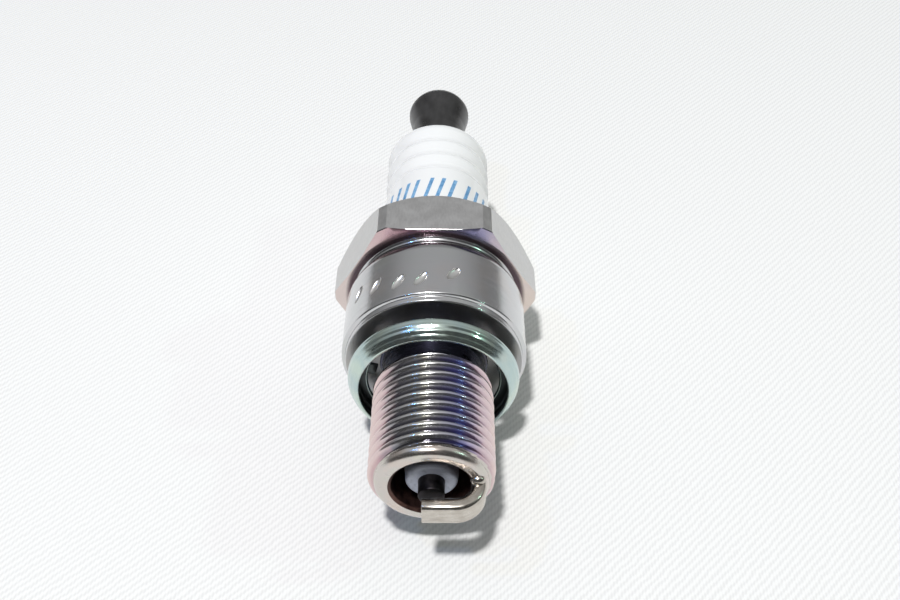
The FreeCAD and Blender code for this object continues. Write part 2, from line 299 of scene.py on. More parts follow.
# --- Finishes ---
def linear(colour: str, alpha: float = 1.0) -> tuple[float, float, float, float]:
    """Turn an sRGB hex colour into linear RGBA.

    Args:
        colour: Such as "#C4C2C3".
        alpha: Opacity.

    Returns:
        Linear red, green, blue and alpha.
    """
    parts = [int(colour[i:i + 2], 16) / 255.0 for i in (1, 3, 5)]
    red, green, blue = (part / 12.92 if part <= 0.04045 else ((part + 0.055) / 1.055) ** 2.4
                        for part in parts)
    return red, green, blue, alpha


def per_mm(size: float) -> float:
    """Give the texture scale whose pattern repeats every size mm."""
    return 1.0 / (size * MM)


def add_node(tree: Tree, kind: str, settings: Optional[dict] = None,
             links: Optional[dict] = None, out: Optional[str] = None) -> Socket:
    """Add a shader node with its settings and links.

    Args:
        tree: The node tree.
        kind: The node's type name, without its leading ShaderNode.
        settings: Values by input name, input number or attribute; "stops" are a ramp's (place, hex) pairs.
        links: Output sockets by input name or number.
        out: Name of the wanted output, or None for the first one in use.

    Returns:
        The output socket.
    """
    node = tree.nodes.new("ShaderNode" + kind)
    for key, value in (settings or {}).items():
        if key == "stops":
            elements = node.color_ramp.elements
            while len(elements) < len(value):
                elements.new(0.5)
            for element, (place, colour) in zip(elements, value):
                element.position, element.color = place, linear(colour)
        elif isinstance(key, int) or key in node.inputs:
            node.inputs[key].default_value = value
        else:
            setattr(node, key, value)
    for key, socket in (links or {}).items():
        tree.links.new(socket, node.inputs[key])
    return node.outputs[out] if out else next(socket for socket in node.outputs if socket.enabled)


@dataclass(frozen=True)
class Finish:
    """What every finish shares: a name, a roughness, and the patterns that metals and ceramics use."""

    name: str
    roughness: float = 0.2

    def sockets(self, tree: Tree) -> Looks:
        """Build the finish's nodes in tree and give the shader's values and links by socket name."""
        raise NotImplementedError

    def build(self) -> Material:
        """Make the material: one shader that takes this finish's values and links.

        Returns:
            The material.
        """
        material = bpy.data.materials.new(self.name)
        material.use_nodes = True
        tree = material.node_tree
        shader = next(node for node in tree.nodes if node.type == "BSDF_PRINCIPLED")
        for key, value in self.sockets(tree).items():
            if isinstance(value, Socket):
                tree.links.new(value, shader.inputs[key])
            else:
                shader.inputs[key].default_value = value
        return material

    @staticmethod
    def place(tree: Tree, stretch: Triple = EVEN) -> Socket:
        """Give the piece's own coordinates, with each axis multiplied by stretch."""
        here = add_node(tree, "TexCoord", out="Object")
        return add_node(tree, "Mapping", {"Scale": stretch}, {"Vector": here})

    def grains(self, tree: Tree, size: float, detail: float = 3.0, stretch: Triple = EVEN,
               fine: float = 0.5) -> Socket:
        """Cover the piece with uneven grains of a real size.

        Args:
            tree: The node tree.
            size: Width of a grain, mm.
            detail: Number of finer layers.
            stretch: Factors along X, Y and Z; a small one draws the grains out along that axis.
            fine: Share that each finer layer keeps.

        Returns:
            The pattern, from 0 to 1.
        """
        return add_node(tree, "TexNoise", {"Scale": per_mm(size), "Detail": detail, "Roughness": fine},
                        {"Vector": self.place(tree, stretch)})

    def from_axis(self, tree: Tree, low: float, high: float) -> Socket:
        """Rise smoothly from 0 to 1 between two distances from the plug's axis.

        Args:
            tree: The node tree.
            low: Distance where the rise starts, mm.
            high: Distance where it ends, mm.

        Returns:
            The rise.
        """
        flat = add_node(tree, "VectorMath", {"operation": "MULTIPLY", 1: (1.0, 0.0, 1.0)},
                        {0: add_node(tree, "TexCoord", out="Object")})
        distance = add_node(tree, "VectorMath", {"operation": "LENGTH"}, {0: flat})
        return add_node(tree, "MapRange", {"interpolation_type": "SMOOTHSTEP", "From Min": low * MM,
                                           "From Max": high * MM}, {"Value": distance})

    def across(self, tree: Tree, tints: Tints, wander: Socket,
               share: float = 0.16) -> Socket:
        """Colour the piece by its place from side to side, with the borders wandering a little.

        Args:
            tree: The node tree.
            tints: (X in mm, hex colour) pairs, from left to right.
            wander: Pattern from 0 to 1 that moves the borders.
            share: How far it moves them, as a share of the width.

        Returns:
            The colour.
        """
        low, high = tints[0][0], tints[-1][0]
        side = add_node(tree, "SeparateXYZ", links={0: self.place(tree)}, out="X")
        along = add_node(tree, "MapRange", {"From Min": low * MM, "From Max": high * MM}, {"Value": side})
        shifted = add_node(tree, "Math", {"operation": "MULTIPLY_ADD", 1: share}, {0: wander, 2: along})
        centred = add_node(tree, "Math", {"operation": "SUBTRACT", 1: share / 2.0}, {0: shifted})
        stops = [((x - low) / (high - low), colour) for x, colour in tints]
        return add_node(tree, "ValToRGB", {"stops": stops}, {"Fac": centred})

    def worn(self, tree: Tree, wear: Socket, relief: Socket,
             height: float, change: tuple[float, float], span: float = 0.2) -> Looks:
        """Let one pattern change the gloss and one raise the surface.

        Args:
            tree: The node tree.
            wear: Pattern that changes the roughness.
            relief: Pattern that raises the surface.
            height: Height of the relief, mm.
            change: Least and most that the roughness changes.
            span: How far from its middle the wear pattern counts.

        Returns:
            The shader's roughness and normal.
        """
        least, most = (self.roughness + step for step in change)
        gloss = add_node(tree, "MapRange", {"From Min": 0.5 - span, "From Max": 0.5 + span, "To Min": least,
                                            "To Max": most}, {"Value": wear})
        normal = add_node(tree, "Bump", {"Strength": 1.0, "Distance": height * MM}, {"Height": relief})
        return {"Roughness": gloss, "Normal": normal}


@dataclass(frozen=True)
class PlatedSteel(Finish):
    """Cold-forged steel with bright nickel plating under a thin passivation film.

    The plating mirrors the room a little softly. The film is thinner than a wavelength and uneven,
    so it shows as clouds of faint pink, violet, blue and green. Forging and turning leave fine rings.
    """

    plating: str = "#C3C1C1"
    film: tuple[str, ...] = ("#CDB6BC", "#BDB9CE", "#B4BFCE", "#BFCAC2")
    film_share: float = 0.3
    cloud: float = 3.0
    grain: float = 0.06
    grain_height: float = 0.0012
    rings: ClassVar[Triple] = (0.25, 1.0, 0.25)

    def sockets(self, tree: Tree) -> Looks:
        """Mix the plating with clouds of film, over fine turned rings.

        Args:
            tree: The node tree.

        Returns:
            The shader's values and links by socket name.
        """
        first, step = 0.32, 0.36 / (len(self.film) - 1)
        stops = [(first + step * i, colour) for i, colour in enumerate(self.film)]
        tint = add_node(tree, "ValToRGB", {"stops": stops}, {"Fac": self.grains(tree, self.cloud, fine=0.45)})
        colour = add_node(tree, "Mix", {"data_type": "RGBA", 0: self.film_share, 6: linear(self.plating)},
                          {7: tint})
        grain = self.grains(tree, self.grain, 4.0, self.rings)
        return {"Metallic": 1.0, "Base Color": colour,
                **self.worn(tree, grain, grain, self.grain_height, (-0.04, 0.07))}


@dataclass(frozen=True)
class RolledThread(Finish):
    """Rolled thread in plated steel.

    Rolling polishes the crests. Painted shade makes the flanks and roots darker, violet and blue; a painted
    highlight lightens the middle, and a painted sheen turns the thread pink towards the sides.
    """

    roughness: float = 0.17
    # Crest tints: lighter near X = -0.6 mm as a painted highlight, pink towards both sides as a painted
    # sheen.
    crest: Tints = ((-5.0, "#E2CECA"), (-3.7, "#DCC8C8"), (-2.6, "#C6C4C8"), (-0.6, "#E0DED6"),
                    (0.9, "#CFCED8"), (2.2, "#B4B4DA"), (3.6, "#D6C4CC"), (5.0, "#E2CECA"))
    # Root tints: darker than the crests as painted shade in the grooves, pink towards both sides as a painted
    # sheen.
    root: Tints = ((-5.0, "#D8BFBC"), (-3.9, "#BC9EA4"), (-2.8, "#84848C"), (-0.6, "#8A8888"),
                   (0.9, "#78748A"), (2.2, "#7674A6"), (3.7, "#AE98A4"), (5.0, "#D8BFBC"))
    core_r: float = 4.39
    major_r: float = 4.94

    def sockets(self, tree: Tree) -> Looks:
        """Tint the roots darker than the crests as painted shade, each from side to side.

        Args:
            tree: The node tree.

        Returns:
            The shader's values and links by socket name.
        """
        clouds, grain = self.grains(tree, 1.3), self.grains(tree, 0.3)
        # Painted shade: the darker root tints take over towards the core, so the grooves are painted darker.
        shaded_ridges = add_node(tree, "Mix", {"data_type": "RGBA"},
                          {0: self.from_axis(tree, self.core_r + 0.15, self.major_r - 0.07),
                           6: self.across(tree, self.root, clouds), 7: self.across(tree, self.crest, clouds)})
        return {"Metallic": 1.0, "Base Color": shaded_ridges, **self.worn(tree, grain, grain, 0.001, (-0.03, 0.06))}


@dataclass(frozen=True)
class FilmedFace(Finish):
    """Plated end face of the hexagon, with its passivation film's colours and painted shade.

    Its tint runs across the face from pink through dark purple to blue, partly the film's colour and partly
    painted shade, and painted shade darkens the corner at the foot of the face.
    """

    roughness: float = 0.24
    tints: Tints = ((-7.0, "#D8CBC6"), (-4.4, "#D2B4B8"), (-2.4, "#A67F8E"), (-0.4, "#735466"),
                    (1.6, "#847C96"), (3.4, "#918FB4"), (5.0, "#BFB4C0"), (7.0, "#D9CCC4"))
    # Painted shade: below this radius, blending out over 0.5 mm, the face takes the dark colour under it, as
    # shade in the corner at its foot.
    painted_shade_r: float = 7.6
    root: str = "#6C5C62"

    def sockets(self, tree: Tree) -> Looks:
        """Tint the face from side to side, and paint shade towards its foot.

        Args:
            tree: The node tree.

        Returns:
            The shader's values and links by socket name.
        """
        # Painted shade: the dark colour takes over towards the foot of the face.
        tint = add_node(tree, "Mix", {"data_type": "RGBA", 6: linear(self.root)},
                        {0: self.from_axis(tree, self.painted_shade_r, self.painted_shade_r + 0.5),
                         7: self.across(tree, self.tints, self.grains(tree, 1.5))})
        return {"Metallic": 1.0, "Roughness": self.roughness, "Base Color": tint}


@dataclass(frozen=True)
class GlazedAlumina(Finish):
    """Fired alumina: a clear gloss glaze over a white body, and a bare satin firing nose.

    The glaze gives sharp small highlights. The unglazed nose is matt, and its bluish grey is painted shade.
    """

    roughness: float = 0.09
    bare_roughness: float = 0.5
    body: str = "#EFEFEE"
    # Painted shade: the bare nose's two bluish-grey tones stand for the shade inside the shell's bore.
    nose: str = "#A9AEBC"
    painted_shade: str = "#8E94A0"
    glaze_starts_y: float = 13.0
    glaze_fades: float = 5.0

    def sockets(self, tree: Tree) -> Looks:
        """Blend the bare nose, painted bluish grey as shade, into the glazed body along the plug.

        Args:
            tree: The node tree.

        Returns:
            The shader's values and links by socket name.
        """
        along = add_node(tree, "SeparateXYZ", links={0: self.place(tree)}, out="Y")
        glazed = add_node(tree, "MapRange", {"From Min": (self.glaze_starts_y - self.glaze_fades) * MM,
                                             "From Max": self.glaze_starts_y * MM}, {"Value": along})
        bare = add_node(tree, "ValToRGB", {"stops": [(0.25, self.painted_shade), (0.5, self.nose)]},
                        {"Fac": self.grains(tree, 0.35, 5.0)})
        colour = add_node(tree, "Mix", {"data_type": "RGBA", 7: linear(self.body)}, {0: glazed, 6: bare})
        gloss = add_node(tree, "MapRange", {"To Min": self.bare_roughness, "To Max": self.roughness},
                         {"Value": glazed})
        ripple = add_node(tree, "Bump", {"Strength": 0.6, "Distance": 0.02 * MM},
                          {"Height": self.grains(tree, 2.5, 1.0)})
        return {"IOR": 1.6, "Base Color": colour, "Roughness": gloss, "Normal": ripple}


@dataclass(frozen=True)
class StreakedMetal(Finish):
    """Bare or dark-toned metal with a worked surface.

    Drawing, turning or brushing draws its streaks out along one way, and handling leaves patches.
    """

    roughness: float = 0.3
    dark: str = "#8E8A84"
    light: str = "#C2BCB2"
    metallic: float = 1.0
    streak: float = 0.07
    stretch: Triple = (1.0, 0.05, 1.0)
    height: float = 0.003
    patch: float = 1.8

    def sockets(self, tree: Tree) -> Looks:
        """Mix streaks and patches for the colour and the gloss, and raise the streaks.

        Args:
            tree: The node tree.

        Returns:
            The shader's values and links by socket name.
        """
        streaks = self.grains(tree, self.streak, stretch=self.stretch)
        both = add_node(tree, "Mix", {0: 0.5}, {2: streaks, 3: self.grains(tree, self.patch, 4.0)})
        tint = add_node(tree, "ValToRGB", {"stops": [(0.36, self.dark), (0.62, self.light)]}, {"Fac": both})
        return {"Metallic": self.metallic, "Base Color": tint,
                **self.worn(tree, both, streaks, self.height, (-0.06, 0.08), 0.15)}


@dataclass(frozen=True)
class Compound(Finish):
    """A pressed or fused filling: glass, resistor mass, powder or stamping ink.

    Grains of two tones, about as coarse as the powder that it was made from.
    """

    dark: str = "#1F1D1D"
    light: str = "#3D3A38"
    grain: float = 0.15

    def sockets(self, tree: Tree) -> Looks:
        """Scatter two tones of grains, and raise them.

        Args:
            tree: The node tree.

        Returns:
            The shader's values and links by socket name.
        """
        grains = self.grains(tree, self.grain, 5.0)
        tint = add_node(tree, "ValToRGB", {"stops": [(0.35, self.dark), (0.65, self.light)]}, {"Fac": grains})
        bump = add_node(tree, "Bump", {"Strength": 0.5, "Distance": self.grain * 0.1 * MM},
                        {"Height": grains})
        return {"Roughness": self.roughness, "Base Color": tint, "Normal": bump}


@dataclass(frozen=True)
class WovenCloth(Finish):
    """White cotton twill on the table. Its diagonal ribs show as a fine slanted texture."""

    roughness: float = 0.9
    rib: float = 0.36
    yarn: float = 0.27
    shade: str = "#E4E3E1"
    white: str = "#F2F1EF"

    WAVE_PERIOD: ClassVar[float] = math.pi / 10.0    # a wave texture of scale 1 repeats every pi / 10

    def sockets(self, tree: Tree) -> Looks:
        """Weave slightly uneven diagonal ribs with a finer set of yarns.

        Args:
            tree: The node tree.

        Returns:
            The shader's values and links by socket name.
        """
        ribs, yarns = (add_node(tree, "TexWave", {"wave_type": "BANDS", "bands_direction": way,
                                                  "Scale": per_mm(size) * self.WAVE_PERIOD, "Distortion": 2.5,
                                                  "Detail": 3.0, "Detail Scale": 1.5},
                                {"Vector": self.place(tree, (1.0, -1.0, 1.0))}, "Fac")
                       for way, size in (("DIAGONAL", self.rib), ("X", self.yarn)))
        weave = add_node(tree, "Mix", {0: 0.35}, {2: ribs, 3: yarns})
        tint = add_node(tree, "ValToRGB", {"stops": [(0.1, self.shade), (0.75, self.white)]}, {"Fac": weave})
        bump = add_node(tree, "Bump", {"Strength": 0.3, "Distance": 0.03 * MM}, {"Height": weave})
        return {"Roughness": self.roughness, "Base Color": tint, "Normal": bump}


# --- Metal shell ---
@dataclass
class ShellBody:
    """Threaded steel shell: nose, helical thread, neck, seat, collar, hexagon and crimp."""

    nose_y: float
    crimp_y: float
    flat_z: float
    pitch: float = 1.0
    major_r: float = 4.94
    core_r: float = 4.42
    crest_half: float = 0.15
    crest_round: float = 0.22
    root_round: float = 0.08
    crest_top_y: float = -11.24
    turn_steps: int = 112
    turns: int = 12
    pilot_r: float = 4.42
    pilot_length: float = 0.65
    end_chamfer: float = 0.35
    runout_y: float = -3.3
    runout_length: float = 0.45
    neck_r: float = 4.3
    nose_bore_r: float = 3.09
    throat_r: float = 2.86
    throat_start_y: float = -5.6
    throat_end_y: float = -4.75
    trunk_bore_r: float = 3.6
    ledge_y: float = 1.6
    chamber_start_y: float = 2.6
    chamber_end_y: float = 12.9
    chamber_bore_r: float = 5.95
    crimp_round: float = 1.1
    mouth_r: float = 5.14
    seat_r: float = 7.45
    seat_step: float = 0.55
    collar_r: float = 7.8
    collar_end_y: float = 7.45
    collar_curve_r: float = 2.1
    collar_draw_in: float = 0.6
    groove_r: float = 7.05
    hex_start_y: float = 7.95
    hex_end_y: float = 12.6
    hex_corner_r: float = 9.0
    hex_fillet: float = 0.42
    hex_edge: float = 0.16
    hex_far_chamfer: float = 1.25
    facet_angle: float = 11.0
    stamp_turns: tuple[float, ...] = (-53.5, -38.0, -21.5, -7.5, 12.0)
    stamp_y: tuple[float, ...] = (3.6, 3.0, 2.4, 2.25, 2.95)
    stamp_size: Triple = (0.4, 0.88, 0.24)
    stamp_slant: float = -36.0

    def thread_limit(self, y: float) -> float:
        """Give the largest radius that the plain nose and the run-out leave at y.

        Args:
            y: Place along the plug, mm.

        Returns:
            The radius, mm.
        """
        rise = (self.major_r - self.pilot_r) / self.end_chamfer
        nose = self.pilot_r + max(0.0, y - self.trim_y()) * rise
        runout = self.major_r - (y - self.runout_y) * (self.major_r - self.neck_r) / self.runout_length
        return min(self.major_r, nose, max(runout, self.neck_r))

    def thread_tube(self) -> BMesh:
        """Screw one pitch of the thread's outline along the plug and trim both ends square.

        Returns:
            The thread, open at both ends.
        """
        bm = bmesh.new()
        flank = (self.major_r - self.core_r) * math.tan(math.radians(30.0))
        foot = self.crest_half + flank
        half = self.pitch / 2.0
        low = self.crest_top_y - 2.0 * self.pitch
        outline = [Corner(low - half, self.core_r), Corner(low - foot, self.core_r, self.root_round, 4),
                   Corner(low - self.crest_half, self.major_r, self.crest_round, 4),
                   Corner(low + self.crest_half, self.major_r, self.crest_round, 4),
                   Corner(low + foot, self.core_r, self.root_round, 4), Corner(low + half, self.core_r)]
        draw_outline(bm, outline, closed=False)
        flanks = [edge for edge in bm.edges if edge.calc_length() > flank * 0.6]
        bmesh.ops.subdivide_edges(bm, edges=flanks, cuts=3)
        bmesh.ops.spin(bm, geom=bm.verts[:] + bm.edges[:], cent=ORIGIN, axis=AXIS,
                       dvec=AXIS * (self.pitch / self.turn_steps), angle=math.tau * self.turns,
                       steps=self.turn_steps * self.turns, use_merge=False, use_duplicate=False)
        bmesh.ops.remove_doubles(bm, verts=bm.verts, dist=0.004)
        for vert in bm.verts:
            keep = min(1.0, self.thread_limit(vert.co.y) / reach(vert.co))
            vert.co = Vector((vert.co.x * keep, vert.co.y, vert.co.z * keep))
        for place, side in ((self.trim_y(), "clear_inner"), (self.neck_start_y(), "clear_outer")):
            bmesh.ops.bisect_plane(bm, geom=bm.verts[:] + bm.edges[:] + bm.faces[:], dist=1e-5,
                                   plane_co=(0.0, place, 0.0), plane_no=AXIS, **{side: True})
        return bm

    def trim_y(self) -> float:
        """Give where the thread ends and the plain rounded nose begins."""
        return self.nose_y + self.pilot_length

    def neck_start_y(self) -> float:
        """Give where the run-out has reached the neck."""
        return self.runout_y + self.runout_length + 0.05

    def rear(self) -> BMesh:
        """Turn the rear of the shell, from the neck to the crimp, as a closed solid.

        Returns:
            The solid.
        """
        top, curve = self.crimp_y, self.collar_end_y
        return lathe([
            Corner(self.neck_end_y(), self.trunk_bore_r), Corner(self.neck_end_y(), self.neck_r),
            Corner(0.0, self.neck_r, 0.3, 6), Corner(0.0, self.seat_r, 0.14, 5),
            Corner(self.seat_step - 0.07, self.seat_r + 0.05, 0.09, 4),
            Corner(self.seat_step, self.collar_r, 0.17, 6),
            Corner(curve - 0.75, self.collar_r, self.collar_curve_r, 14),
            Corner(curve - 0.1, self.collar_r - self.collar_draw_in, 0.06, 2),
            Corner(curve, self.groove_r, 0.08, 3),
            Corner(self.hex_start_y + 0.05, self.groove_r, self.hex_fillet, 8),
            Corner(self.hex_start_y + 0.05, self.groove_r + 0.7),
            Corner(self.hex_start_y + 0.4, self.groove_r), Corner(self.hex_end_y + 0.5, self.groove_r),
            Corner(top, self.groove_r - 0.1, self.crimp_round, 12),
            Corner(top, self.mouth_r, 0.15, 4), Corner(top - 0.5, self.mouth_r + 0.05, 0.1, 2),
            Corner(top - 0.85, self.chamber_bore_r - 0.1, 0.15, 3),
            Corner(self.chamber_end_y, self.chamber_bore_r),
            Corner(self.chamber_start_y, self.chamber_bore_r), Corner(self.ledge_y, self.trunk_bore_r)],
            closed=True)

    def neck_end_y(self) -> float:
        """Give where the threaded end and the rear of the shell meet on the neck."""
        return self.neck_start_y() + 0.4

    def inside(self) -> Section:
        """Give the stations from the rounded nose edge through the bore to the trunk.

        Returns:
            The stations, past the thread's own rim.
        """
        nose = self.nose_y
        return stations([
            Corner(self.trim_y(), self.pilot_r), Corner(nose, self.pilot_r, self.pilot_length - 0.02, 12),
            Corner(nose, self.nose_bore_r + 0.29, 0.16, 5), Corner(nose + 0.22, self.nose_bore_r, 0.1, 4),
            Corner(self.throat_start_y - 0.4, self.nose_bore_r),
            Corner(self.throat_start_y, self.throat_r, 0.1, 3),
            Corner(self.throat_end_y, self.throat_r, 0.1, 3),
            Corner(self.throat_end_y + 0.5, self.trunk_bore_r),
            Corner(self.neck_start_y(), self.trunk_bore_r)])[1:]

    def join_ends(self, rear: BMesh) -> BMesh:
        """Join the threaded end to the rear of the shell across the neck and the bore.

        Args:
            rear: The finished rear, freed here.

        Returns:
            The whole shell.
        """
        bm = self.thread_tube()
        near = [edge for edge in bm.edges if edge.is_boundary and edge.verts[0].co.y < self.crest_top_y]
        outer = [edge for edge in bm.edges if edge.is_boundary and edge.verts[0].co.y > self.crest_top_y]
        inner = grow(bm, near, self.inside())
        mesh = bpy.data.meshes.new("rear")
        rear.to_mesh(mesh)
        rear.free()
        bm.from_mesh(mesh)
        bpy.data.meshes.remove(mesh)
        start = self.neck_end_y()
        ends = [face for face in bm.faces if all(abs(vert.co.y - start) < 1e-4 for vert in face.verts)]
        bmesh.ops.delete(bm, geom=ends, context="FACES")
        rims = [edge for edge in bm.edges if edge.is_boundary and abs(edge.verts[0].co.y - start) < 1e-4]
        middle_r = (self.neck_r + self.trunk_bore_r) / 2.0
        outside = [edge for edge in rims if reach(edge.verts[0].co) > middle_r]
        inside = [edge for edge in rims if edge not in outside]
        bmesh.ops.bridge_loops(bm, edges=outer + outside)
        bmesh.ops.bridge_loops(bm, edges=inner + inside)
        bmesh.ops.recalc_face_normals(bm, faces=bm.faces)
        return bm

    def hexagon(self) -> BMesh:
        """Build the hexagon, its corners turned off and both faces chamfered.

        Returns:
            The solid.
        """
        flat = self.flat_z
        prism = bmesh.new()
        length = self.hex_end_y - self.hex_start_y
        corner_r = flat / math.cos(math.radians(30.0))
        bmesh.ops.create_cone(prism, cap_ends=True, segments=6, radius1=corner_r, radius2=corner_r,
                              depth=length)
        middle = Vector((0.0, self.hex_start_y + length / 2.0, 0.0))
        turn = Matrix.Rotation(math.radians(90.0), 4, "X") @ Matrix.Rotation(math.radians(30.0), 4, "Z")
        bmesh.ops.transform(prism, matrix=Matrix.Translation(middle) @ turn, verts=prism.verts)
        turned = lathe([Corner(self.hex_start_y, 0.0), Corner(self.hex_start_y, flat - 0.02),
                        Corner(self.hex_start_y + 0.28, self.hex_corner_r, 0.12, 3),
                        Corner(self.hex_end_y - self.hex_far_chamfer, self.hex_corner_r, 0.2, 3),
                        Corner(self.hex_end_y, flat - 0.06), Corner(self.hex_end_y, 0.0)])
        near = [edge for edge in prism.edges
                if all(vert.co.y < self.hex_start_y + 0.01 for vert in edge.verts)]
        round_off(prism, near, self.hex_edge, 5)
        bm = combine(prism, turned, Join.KEEP_COMMON)
        bmesh.ops.dissolve_limit(bm, angle_limit=math.radians(0.3), verts=bm.verts, edges=bm.edges)
        round_off(bm, [edge for edge in bm.edges if is_sharp(edge, self.facet_angle)], 0.12, 2, clamp=True)
        return bm

    def stamps(self) -> BMesh:
        """Build the tools that press five plain slanted marks into the collar.

        Returns:
            The tools, as one mesh.
        """
        bm = bmesh.new()
        for turn, y in zip(self.stamp_turns, self.stamp_y):
            made = bmesh.ops.create_icosphere(bm, subdivisions=4, radius=1.0)["verts"]
            shape = Matrix.Diagonal((*self.stamp_size, 1.0))
            slant = Matrix.Rotation(math.radians(self.stamp_slant), 4, "Z")
            seat = Matrix.Translation((0.0, y, self.collar_r + 0.03))
            round_axis = Matrix.Rotation(math.radians(turn), 4, "Y")
            bmesh.ops.transform(bm, matrix=round_axis @ seat @ slant @ shape, verts=made)
        return bm

    def region(self, middle: Vector, normal: Vector) -> int:
        """Pick the finish of a face.

        0 is plating, 1 thread, 2 brushed flat, 3 filmed face, 4 nose, 5 bore, 6 neck, 7 mark, 8 seat; 5 and 6
        are dark as painted shade, 7 is lighter as a painted highlight.

        Args:
            middle: Middle of the face, mm.
            normal: Its normal.

        Returns:
            The material's number.
        """
        r = reach(middle)
        if self.runout_y + 0.25 < middle.y < 0.02 and r < self.seat_r + 0.02:
            return 6 if r < self.neck_r + 0.2 else 8
        if middle.y < -2.5:
            if r < 3.3 and middle.y > self.nose_y + 0.1:
                return 5
            return 4 if middle.y < self.trim_y() + 0.1 else 1
        if abs(middle.y - self.hex_start_y) < 0.005 and normal.y < -0.99:
            return 3
        if self.hex_start_y < middle.y < self.hex_end_y + 0.01 and r > self.groove_r + 0.02:
            if abs(normal.y) > 0.8:
                return 3
            return 2 if abs(normal.y) < 0.1 else 0
        if 1.2 < middle.y < 4.8 and r < self.collar_r - 0.012 and middle.z > 0.0:
            return 7
        return 0

    def build(self) -> Piece:
        """Build and dress the shell.

        Returns:
            The shell.
        """
        plating = PlatedSteel("nickel_plated_forging", plating="#D0D0CF", film_share=0.12, roughness=0.17,
                              grain=0.4, grain_height=0.0004).build()
        # Painted highlight: the pressed marks get a lighter plating than the collar round them.
        mark = PlatedSteel("pressed_mark", plating="#E4E2DE", film_share=0.1, roughness=0.3,
                           grain=0.15).build()
        thread = RolledThread("rolled_plated_thread").build()
        flats = StreakedMetal("brushed_plated_flat", dark="#C9C8C7", light="#D8D7D6", roughness=0.34,
                              streak=0.16, stretch=(1.0, 0.3, 1.0), height=0.002, patch=1.1).build()
        faces = FilmedFace("filmed_plated_face").build()
        nose = PlatedSteel("plated_nose_ring", plating="#D2CFC6", film=("#D8BDB4", "#C9BEBE", "#C8C6B8"),
                           film_share=0.45, cloud=1.8, roughness=0.22, grain=0.2, grain_height=0.001).build()
        # Painted shade: the neck under the gasket gets a dark plating and dark film.
        neck = PlatedSteel("neck_painted_shade", plating="#4E4D58", film=("#44425C", "#404658", "#4C4A50"),
                           film_share=0.6, roughness=0.24, grain=0.3, grain_height=0.0005).build()
        seat = PlatedSteel("filmed_seat_face", plating="#B9B8B6", film=("#A09EA4", "#A2A4A6", "#AEACA8"),
                           film_share=0.5, roughness=0.33, grain=0.3, grain_height=0.0005).build()
        # Painted shade: the bore gets dark brown tones for the shade deep inside it.
        bore = StreakedMetal("bore_painted_shade", dark="#3A2A26", light="#6A504A", roughness=0.42, streak=0.5,
                             stretch=EVEN, height=0.01, patch=0.8).build()
        rear = combine(self.rear(), self.hexagon(), Join.UNION)
        body = self.join_ends(combine(rear, self.stamps(), Join.CUT))
        return finished("threaded_shell", body, Body.PLUG, ["metal_shell"],
                        [plating, thread, flats, faces, nose, bore, neck, mark, seat], self.region,
                        weighted=True)


